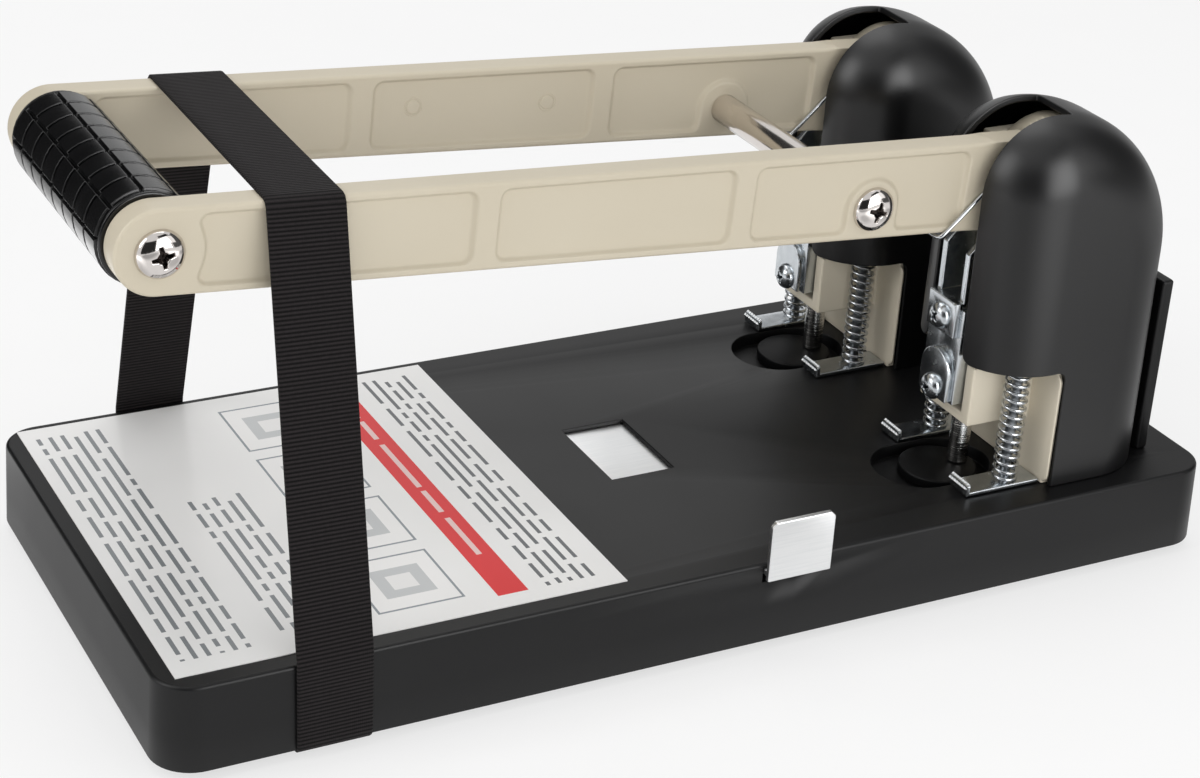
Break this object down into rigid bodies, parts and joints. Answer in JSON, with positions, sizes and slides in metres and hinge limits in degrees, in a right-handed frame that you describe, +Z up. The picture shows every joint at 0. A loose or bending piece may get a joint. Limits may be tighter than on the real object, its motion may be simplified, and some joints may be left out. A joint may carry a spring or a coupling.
{
  "type": "heavy duty two-hole punch",
  "caption": "Desk punch for thick paper: black base, domed towers with sprung punches, pale twin lever arms with a rubber grip, sliding paper guide and a hold-down strap.",
  "frame": {"origin": "on the desk plane under the middle of the base", "axes": "+X along the base towards the towers, +Y away from the paper guide's tab, +Z up"},
  "size_m": [0.3183, 0.1485, 0.1397],
  "materials": {
    "base_black": "satin black moulding, fine grain",
    "cover_black": "satin black moulding",
    "dark_plate": "matt black coat",
    "foot_rubber": "matt",
    "beige_paint": "pale beige powder coat, fine texture",
    "steel": "plain steel",
    "zinc": "bright zinc plate",
    "bright_metal": "nickel plate",
    "spring_wire": "bright drawn wire",
    "disc_black": "smooth black",
    "guide_metal": "brushed along its length",
    "printed_sheet": null,
    "bush_brass": "plain",
    "grip_rubber": "matt moulded blocks",
    "webbing": "fine cross ribs"
  },
  "bodies": {
    "base": {"base_shell": "base_black", "bottom_plate": "dark_plate", "rubber_feet": "foot_rubber", "bottom_screws": "steel", "instruction_label": "printed_sheet", "guide_keeper": "steel", "near_punch_frame": "beige_paint", "far_punch_frame": "beige_paint", "near_cover": "cover_black", "far_cover": "cover_black", "near_pivot_pin": "steel", "far_pivot_pin": "steel", "frame_bolts": "steel", "rear_plate": "base_black", "rear_plate_screws": "steel", "near_torsion_spring": "spring_wire", "far_torsion_spring": "spring_wire", "strap": "webbing"},
    "lever": {"near_arm": "beige_paint", "far_arm": "beige_paint", "pivot_bushes": "bush_brass", "near_drive_pin": "steel", "far_drive_pin": "steel", "grip_tube": "steel", "grip_sleeve": "grip_rubber", "grip_screws": "bright_metal", "tie_rod": "bright_metal", "tie_rod_screws": "bright_metal"},
    "guide": {"paper_guide": "guide_metal"},
    "near_carriage": {"near_slider": "steel", "near_punch": "steel", "near_clevis": "zinc", "near_clamp_plate": "zinc", "near_slider_screws": "bright_metal", "near_cross_bar": "steel"},
    "near_disc": {"near_cutting_disc": "disc_black"},
    "far_carriage": {"far_slider": "steel", "far_punch": "steel", "far_clevis": "zinc", "far_clamp_plate": "zinc", "far_slider_screws": "bright_metal", "far_cross_bar": "steel"},
    "far_disc": {"far_cutting_disc": "disc_black"},
    "near_outer_foot": {"near_outer_foot": "zinc", "near_outer_foot_rod": "steel", "near_outer_foot_spring": "spring_wire"},
    "near_inner_foot": {"near_inner_foot": "zinc", "near_inner_foot_rod": "steel", "near_inner_foot_spring": "spring_wire"},
    "far_inner_foot": {"far_inner_foot": "zinc", "far_inner_foot_rod": "steel", "far_inner_foot_spring": "spring_wire"},
    "far_outer_foot": {"far_outer_foot": "zinc", "far_outer_foot_rod": "steel", "far_outer_foot_spring": "spring_wire"}
  },
  "joints": [
    {"name": "lever_pivot", "type": "hinge", "parent": "base", "child": "lever", "pos_m": [0.11, 0, 0.1109], "axis": [0, 1, 0], "range_deg": [0, 37], "deforming": ["near_torsion_spring", "far_torsion_spring", "strap"]},
    {"name": "near_carriage_slide", "type": "slide", "parent": "base", "child": "near_carriage", "axis": [0, 0, 1], "range_m": [0, 0.01283]},
    {"name": "far_carriage_slide", "type": "slide", "parent": "base", "child": "far_carriage", "axis": [0, 0, 1], "range_m": [0, 0.01283]},
    {"name": "near_outer_foot_slide", "type": "slide", "parent": "near_carriage", "child": "near_outer_foot", "axis": [0, 0, 1], "range_m": [-0.0028, 0], "deforming": ["near_outer_foot_spring"]},
    {"name": "near_inner_foot_slide", "type": "slide", "parent": "near_carriage", "child": "near_inner_foot", "axis": [0, 0, 1], "range_m": [-0.0028, 0], "deforming": ["near_inner_foot_spring"]},
    {"name": "far_inner_foot_slide", "type": "slide", "parent": "far_carriage", "child": "far_inner_foot", "axis": [0, 0, 1], "range_m": [-0.0028, 0], "deforming": ["far_inner_foot_spring"]},
    {"name": "far_outer_foot_slide", "type": "slide", "parent": "far_carriage", "child": "far_outer_foot", "axis": [0, 0, 1], "range_m": [-0.0028, 0], "deforming": ["far_outer_foot_spring"]},
    {"name": "guide_slide", "type": "slide", "parent": "base", "child": "guide", "axis": [0, -1, 0], "range_m": [0, 0.045]},
    {"name": "near_disc_turn", "type": "hinge", "parent": "base", "child": "near_disc", "pos_m": [0.084, -0.04, 0.0242], "axis": [0, 0, 1], "continuous": true},
    {"name": "far_disc_turn", "type": "hinge", "parent": "base", "child": "far_disc", "pos_m": [0.084, 0.04, 0.0242], "axis": [0, 0, 1], "continuous": true}
  ],
  "couplings": [
    {"joint": "near_carriage_slide", "follows": "lever_pivot", "m_per_rad": 0.01985},
    {"joint": "far_carriage_slide", "follows": "lever_pivot", "m_per_rad": 0.01985},
    {"joint": "near_outer_foot_slide", "follows": "lever_pivot", "m_per_rad": -0.00433},
    {"joint": "near_inner_foot_slide", "follows": "lever_pivot", "m_per_rad": -0.00433},
    {"joint": "far_inner_foot_slide", "follows": "lever_pivot", "m_per_rad": -0.00433},
    {"joint": "far_outer_foot_slide", "follows": "lever_pivot", "m_per_rad": -0.00433}
  ]
}
